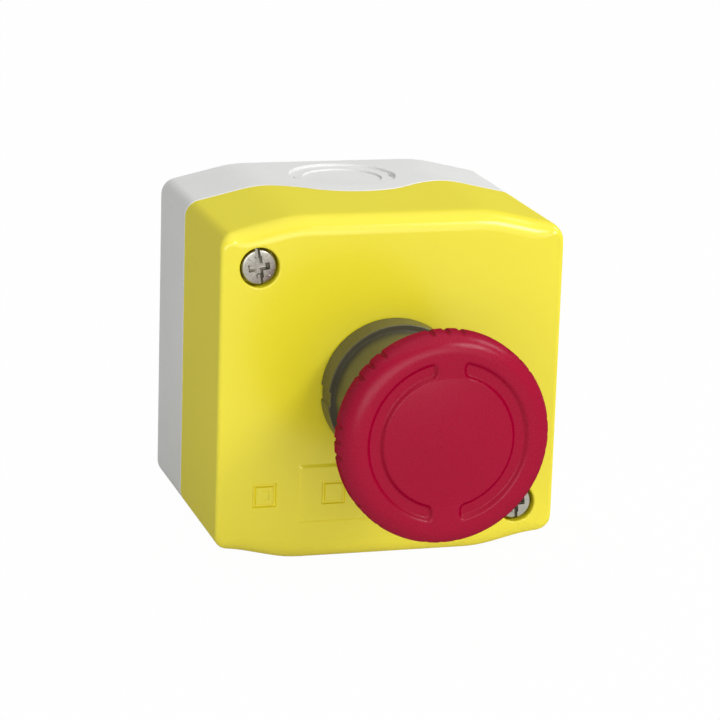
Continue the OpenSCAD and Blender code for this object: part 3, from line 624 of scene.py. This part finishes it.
def make_cap(notch_easing=0.1):
    """The head as one surface: a half profile turned about the axis. Its radius is cut back in the
    notches to the softened least of r and R cos d - sqrt(n^2 - (R sin d)^2), where R and n are
    the notch tool's distance and radius and d the angle from its middle. Its front face sinks
    inside the two arcs of the recess, whose corners are rounded, by an eased step of the distance
    from the recess's edge over the width of its wall."""
    rise = CROWN - CAP_RIM
    crown_r = (RECESS_IN**2 + rise**2) / (2 * rise)
    face_r = np.concatenate([[0, 0.6, 2, 4, 6, 8, 10, 11, 11.5, 11.8],
                             np.arange(11.9, 12.95, 0.07), np.arange(13.0, 14.1, 0.2),
                             np.arange(14.1, 15.65, 0.07), [15.7, 16.0]])
    face_h = np.where(face_r < RECESS_IN, CROWN - crown_r + np.sqrt(crown_r**2 - face_r**2),
                      CAP_RIM)
    swing = np.radians(np.linspace(0, 90, 14))
    edge = np.stack([CAP_R - CAP_EDGE_R * (1 - np.sin(swing)),
                     CAP_RIM - CAP_EDGE_R * (1 - np.cos(swing))], -1)
    # Rim, underside, room for the spring and the sleeve, and the socket of the stem
    rest = softened([(CAP_R, 86.6), (CAP_R, 84.6), (14.8, 78), (13.4, 78), (13.4, 86), (7.5, 86),
                     (7.5, 66.3), (4.95, 66.3), (4.95, 84), (0, 84)],
                    [0, 0.8, 0.4, 0.3, 0.6, 0.6, 0.3, 0.3, 0.2, 0], 5)
    band = np.array([(CAP_R, h) for h in (86.3, 85.8, 85.4)])
    profile = np.vstack([np.stack([face_r, face_h], -1), edge, band, rest[1:]])
    radius, depth = profile.T
    angles = cap_angles()
    r = radius[:, None] + 0 * angles
    h = depth[:, None] + 0 * angles

    half_group = 180 / NOTCH_GROUPS
    away = (np.degrees(angles) + half_group) % (2 * half_group) - half_group
    nearest = np.radians(away - np.clip(np.round(away / NOTCH_STEP), -1, 1) * NOTCH_STEP)
    chord = NOTCH_R**2 - (NOTCH_AT * np.sin(nearest)) ** 2
    floor = NOTCH_AT * np.cos(nearest) - np.sqrt(np.maximum(chord, 0))
    cut = 0.5 * (r + floor - np.sqrt((r - floor) ** 2 + notch_easing**2))
    # The last 12 of these rows round the rim's lower edge and reach the underside
    outer_rows = len(face_r) + len(edge) + len(band) + 12
    outside = (np.arange(len(radius)) < outer_rows)[:, None]
    r = np.where(outside & (chord > 0) & (r > CAP_R - 3), np.minimum(cut, r), r)

    x, z = r * np.sin(angles), r * np.cos(angles)
    mid_r, half_w = (RECESS_OUT + RECESS_IN) / 2, (RECESS_OUT - RECESS_IN) / 2
    past_wall = np.abs(np.hypot(x, z) - mid_r) - half_w + RECESS_CORNER_R
    past_end = BRIDGE / 2 - np.abs(x) + RECESS_CORNER_R
    outside_by = np.minimum(np.maximum(past_wall, past_end), 0) - RECESS_CORNER_R \
        + np.hypot(np.maximum(past_wall, 0), np.maximum(past_end, 0))
    outer = np.clip((np.hypot(x, z) - mid_r) / half_w, 0, 1)
    wall = INNER_WALL_W + (OUTER_WALL_W - INNER_WALL_W) * outer
    front = (np.arange(len(radius)) < len(face_r))[:, None]
    h = h - np.where(front, RECESS_SUNK * eased_step(-outside_by / wall), 0)
    cap = closed_surface("mushroom_cap", np.stack([x, -h, z], -1))
    return finish(cap, "mushroom", ["mushroom_cap"], red_polyamide, crease=50)


# Bezel

def make_bezel(pressed_in=0.35, pressed_half=1.55, pressed_slope=0.3):
    """Bezel, sleeve and threaded barrel in one turned piece. The flange is pressed in at three and
    nine o'clock by an eased step, and the barrel's radius swings along a thread of 1 mm pitch by
    (1 + cos(2 pi depth - a)) / 2 of the thread's depth."""
    # Barrel, flange and sleeve from back to front, then the bore from front to back
    outer = softened([(10.1, 36), (BARREL_R, 36), (BARREL_R, FLANGE_BACK), (FLANGE_R, FLANGE_BACK),
                      (FLANGE_R, FLANGE_FRONT), (SLEEVE_R, FLANGE_FRONT),
                      (SLEEVE_R, SLEEVE_FRONT), (11.3, SLEEVE_FRONT), (11.3, 60), (9.2, 60),
                      (9.2, 46), (9.9, 46), (9.9, 36.2)],
                     [0, 0.3, 0.1, 0.2, 0.15, 0.1, 0.3, 0.3, 0.2, 0.2, 0.1, 0.1, 0], 6)
    thread = np.arange(THREAD_BACK, THREAD_FRONT, 0.125)
    thread = np.stack([np.full(len(thread), BARREL_R), thread], -1)
    at = int(np.argmax(outer[:, 1] > 40))
    profile = np.vstack([outer[:at], thread, outer[at:]])
    sides = np.arange(-9, 9.01, 0.6)
    angles = np.sort(np.concatenate([90 + sides, 270 + sides, np.arange(0, 360, 2.5)]) % 360)
    angles = np.radians(angles[np.diff(np.append(angles, angles[0] + 360)) > 0.2])
    radius, depth = profile.T
    r = radius[:, None] + 0 * angles
    threaded = (depth > THREAD_BACK + 0.1) & (depth < THREAD_FRONT - 0.1) \
        & (np.abs(radius - BARREL_R) < 0.01)
    wave = 0.5 + 0.5 * np.cos(2 * np.pi * depth[:, None] - angles)
    r = r - THREAD_DEPTH * threaded[:, None] * wave
    across = FLANGE_R * np.abs(np.cos(angles))
    flange = (depth > FLANGE_BACK - 0.1) & (depth < FLANGE_FRONT + 0.1) & (radius > SLEEVE_R + 0.3)
    r = r - pressed_in * flange[:, None] * eased_step((pressed_half - across) / pressed_slope)
    rings = np.stack([r * np.sin(angles), -depth[:, None] + 0 * r, r * np.cos(angles)], -1)
    bezel = closed_surface("head_bezel", rings, tube=True)
    shape(bezel, [block("tab", (-1.4, -53.9, 10.4), (1.4, -50.2, 12.2), 0.15)], "UNION")
    shape(bezel, [block("keyway", (-1.4, -60.4, -9.8), (1.4, -45, 9.8))], "DIFFERENCE")
    return finish(bezel, "lid", ["head_bezel"], dark_polyamide)


# Lid screws

def tapered(name, mouth, floor, top, bottom):
    """Recess with a rectangular mouth and a smaller floor. mouth and floor are half sizes along x
    and z, top and bottom are depths."""
    rings = [np.insert(SQUARE * half, 1, -depth, axis=1)
             for half, depth in ((mouth, top), (floor, bottom))]
    return closed_surface(name, np.array(rings))


def make_screw(name, at, lean):
    """Head with a rounded rim, a long slot, a cross and four small tick marks, on a plain shank.
    lean turns the slot from upright, anticlockwise as seen from the front."""
    head = turned(name, softened([(0, SCREW_TOP), (SCREW_HEAD_R, SCREW_TOP),
                                  (SCREW_HEAD_R, SCREW_SEAT), (SHANK_R, SCREW_SEAT),
                                  (SHANK_R, SHANK_END), (0, SHANK_END)],
                                 [0, 0.45, 0.1, 0.1, 0.6, 0], 5))
    above = SCREW_TOP + 0.5
    tools = [tapered("slot", (4, 0.62), (4, 0.22), above, SCREW_TOP - 1.0),
             tapered("cross", (0.8, 2.3), (0.45, 1.5), above, SCREW_TOP - 1.4),
             tapered("cross", (2.3, 0.8), (1.5, 0.45), above, SCREW_TOP - 1.4)]
    for quarter in range(4):
        tick = block("tick", (1.5, -53.2, -0.11), (2.7, -52.2, 0.11))
        tick.data.transform(Matrix.Rotation(math.radians(45 + 90 * quarter), 4, "Y"))
        tools.append(tick)
    shape(head, tools, "DIFFERENCE")
    head.data.transform(Matrix.Rotation(math.radians(-90 - lean), 4, "Y"))
    head.data.transform(Matrix.Translation((at[0] * MM, 0, at[1] * MM)))
    return head


# Springs

def make_spring(name, at, mean_r, wire, low, high, turns, ends=0.9):
    """Round wire wound from depth low to high. The climb eases in and out over the end turns, as
    closed ends do: depth = low + wire/2 + (height - wire) * s, with s nearly flat at both ends."""
    steps, sides = int(turns * 40), 14
    u = np.linspace(0, 1, steps + 1)
    flat = ends / turns
    wire_share = wire / (high - low)
    climb = np.clip((u - flat) / (1 - 2 * flat), 0, 1)
    s = 0.5 * wire_share * (u / flat).clip(0, 1) + climb * (1 - wire_share) \
        + 0.5 * wire_share * ((u - 1 + flat) / flat).clip(0, 1)
    angle = 2 * np.pi * turns * u
    section = np.linspace(0, 2 * np.pi, sides, endpoint=False)
    r = mean_r + 0.5 * wire * np.cos(section)[None]
    depth = low + wire / 2 + (high - low - wire) * s[:, None] + 0.5 * wire * np.sin(section)[None]
    rings = np.stack([at[0] + r * np.cos(angle)[:, None], -depth,
                      at[1] + r * np.sin(angle)[:, None]], -1)
    return closed_surface(name, rings)


# Inner pieces that keep their CAD form

def eased_copy(name, body, slot):
    """A merged copy of a CAD piece with its flat faces whole and its edges slightly rounded."""
    source = frame["nodes"][name]
    piece = bpy.data.objects.new(name + "_finished", source.data.copy())
    bpy.context.scene.collection.objects.link(piece)
    work = bmesh.new()
    work.from_mesh(piece.data)
    bmesh.ops.remove_doubles(work, verts=work.verts, dist=1e-6)
    bmesh.ops.dissolve_limit(work, angle_limit=math.radians(0.5), verts=work.verts,
                             edges=work.edges)
    work.to_mesh(piece.data)
    work.free()
    edges = piece.modifiers.new("edges", "BEVEL")
    edges.width, edges.segments, edges.limit_method = EASED_EDGE * MM, 2, "ANGLE"
    edges.angle_limit, edges.use_clamp_overlap = math.radians(40), True
    settle(piece)
    return finish(piece, body, [name], SLOT_MATERIALS[slot])


make_base()
make_lid()
make_cap()
make_bezel()
finish(make_screw("screw_upper", SCREW_PLACES[0], lean=7), "screw_upper", ["lid_screw_upper"],
       zinc_plated_steel)
finish(make_screw("screw_lower", SCREW_PLACES[1], lean=5), "screw_lower", ["lid_screw_lower"],
       zinc_plated_steel)

head_spring = finish(make_spring("head_spring", (0, 0), mean_r=10.4, wire=1.1, low=60, high=86,
                                 turns=7), "lid", ["head_return_spring"],
                     drawn_spring_steel)
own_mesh(head_spring)
for side, x in (("left", -BLOCK_X), ("right", BLOCK_X)):
    spring = finish(make_spring("spring_" + side, (x, 0), mean_r=2.35, wire=0.5, low=4.2,
                                high=12.1, turns=5), "base", ["contact_spring_" + side],
                    drawn_spring_steel)
    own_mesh(spring)

bodies = {node: body for body, nodes in frame["record"]["behaviour"]["bodies"].items()
          for node in nodes}
for part in frame["record"]["subparts"]:
    node, slot = part["node"], part["material_slot"]
    if not frame["nodes"][node].hide_render:
        eased_copy(node, bodies[node], slot)


# Stage, light and camera

def seen_rays(tree):
    """1 for rays from the camera, in reflections and through clear material, 0 for all others."""
    path = add(tree, "ShaderNodeLightPath")
    seen = add(tree, "ShaderNodeMath", {0: path.outputs["Is Camera Ray"],
                                        1: path.outputs["Is Glossy Ray"]}, operation="MAXIMUM")
    seen = add(tree, "ShaderNodeMath", {0: seen.outputs[0],
                                        1: path.outputs["Is Transmission Ray"]},
               operation="MAXIMUM")
    return seen.outputs[0]


def white_to_the_eye(tree, surface, share):
    """Mixes a surface with plain white of strength 1 for the rays that are seen, so that the
    ground shows white and keeps a trace of the shadow."""
    amount = add(tree, "ShaderNodeMath", {0: seen_rays(tree), 1: share}, operation="MULTIPLY")
    white = add(tree, "ShaderNodeEmission", {"Color": (1, 1, 1, 1), "Strength": 1.0})
    return add(tree, "ShaderNodeMixShader", {0: amount.outputs[0], 1: surface,
                                             2: white.outputs[0]})


FLOOR_HALF, FLOOR_LEVEL, FLOOR_WHITE = 3000, -34.1, 0.98
floor = new_object("floor", np.insert(SQUARE * FLOOR_HALF, 2, FLOOR_LEVEL, axis=1), [[0, 1, 2, 3]])
floor_paint = bpy.data.materials.new("matt_white_floor")
floor_paint.use_nodes = True
tree = floor_paint.node_tree
tree.nodes.clear()
matt = add(tree, "ShaderNodeBsdfDiffuse", {"Color": (0.8, 0.8, 0.8, 1)})
mixed = white_to_the_eye(tree, matt.outputs[0], FLOOR_WHITE)
add(tree, "ShaderNodeOutputMaterial", {"Surface": mixed.outputs[0]})
floor.data.materials.append(floor_paint)

WORLD_LIGHT = 0.22
world = bpy.data.worlds.new("studio")
bpy.context.scene.world = world
world.use_nodes = True
tree = world.node_tree
tree.nodes.clear()
level = add(tree, "ShaderNodeMapRange",
            {"Value": seen_rays(tree), "To Min": WORLD_LIGHT, "To Max": 1.0})
sky = add(tree, "ShaderNodeBackground", {"Color": (1, 1, 1, 1), "Strength": level.outputs[0]})
add(tree, "ShaderNodeOutputWorld", {"Surface": sky.outputs[0]})


def soft_lamp(name, place, width, height, power, aim=(0, -0.04, 0)):
    """Rectangular area lamp aimed at the box. Places and sizes are metres, power is watts."""
    lamp = bpy.data.lights.new(name, "AREA")
    lamp.shape, lamp.size, lamp.size_y, lamp.energy = "RECTANGLE", width, height, power
    holder = bpy.data.objects.new(name, lamp)
    bpy.context.scene.collection.objects.link(holder)
    holder.location = place
    away = np.asarray(place, float) - aim
    holder.rotation_mode = "QUATERNION"
    holder.rotation_quaternion = Vector(-away).to_track_quat("-Z", "Y")
    return holder


soft_lamp("key", (0.70, -0.95, 0.86), 0.5, 0.35, 6.5)
soft_lamp("front", (-0.30, -1.60, 0.30), 1.6, 0.66, 6.5)
soft_lamp("left", (-0.35, -1.80, 0.52), 3.0, 1.1, 11.0)
soft_lamp("overhead", (0.05, 0.00, 1.50), 2.0, 2.0, 8.0)
soft_lamp("right", (1.05, 0.00, 1.05), 0.45, 0.45, 5.5)

# Camera fitted to the photo: focal length in pixels of a picture 720 wide, place in mm, angles in
# radians
FOCAL_PIXELS, PICTURE_WIDTH, SENSOR_WIDTH = 3086.53, 720, 36.0
CAMERA_AT = (-166.36, -599.49, 157.78)
yaw, pitch, roll = -0.2849, -0.2607, -0.0314
camera = bpy.data.cameras.new("camera")
camera.sensor_width, camera.lens = SENSOR_WIDTH, FOCAL_PIXELS * SENSOR_WIDTH / PICTURE_WIDTH
camera.clip_start, camera.clip_end = 0.01, 20.0
ahead = np.array([-math.sin(yaw), math.cos(yaw), 0]) * math.cos(pitch) \
    + np.array([0, 0, math.sin(pitch)])
raised = np.array([-math.sin(yaw), math.cos(yaw), 0]) * -math.sin(pitch) \
    + np.array([0, 0, math.cos(pitch)])
across = np.array([math.cos(yaw), math.sin(yaw), 0])
right = across * math.cos(roll) - raised * math.sin(roll)
up = across * math.sin(roll) + raised * math.cos(roll)
eye = bpy.data.objects.new("camera", camera)
bpy.context.scene.collection.objects.link(eye)
stance = np.eye(4)
stance[:3, 0], stance[:3, 1], stance[:3, 2] = right, up, -ahead
stance[:3, 3] = np.array(CAMERA_AT) * MM
eye.matrix_world = Matrix(stance.tolist())
bpy.context.scene.camera = eye
bpy.context.scene.view_settings.view_transform = "Standard"
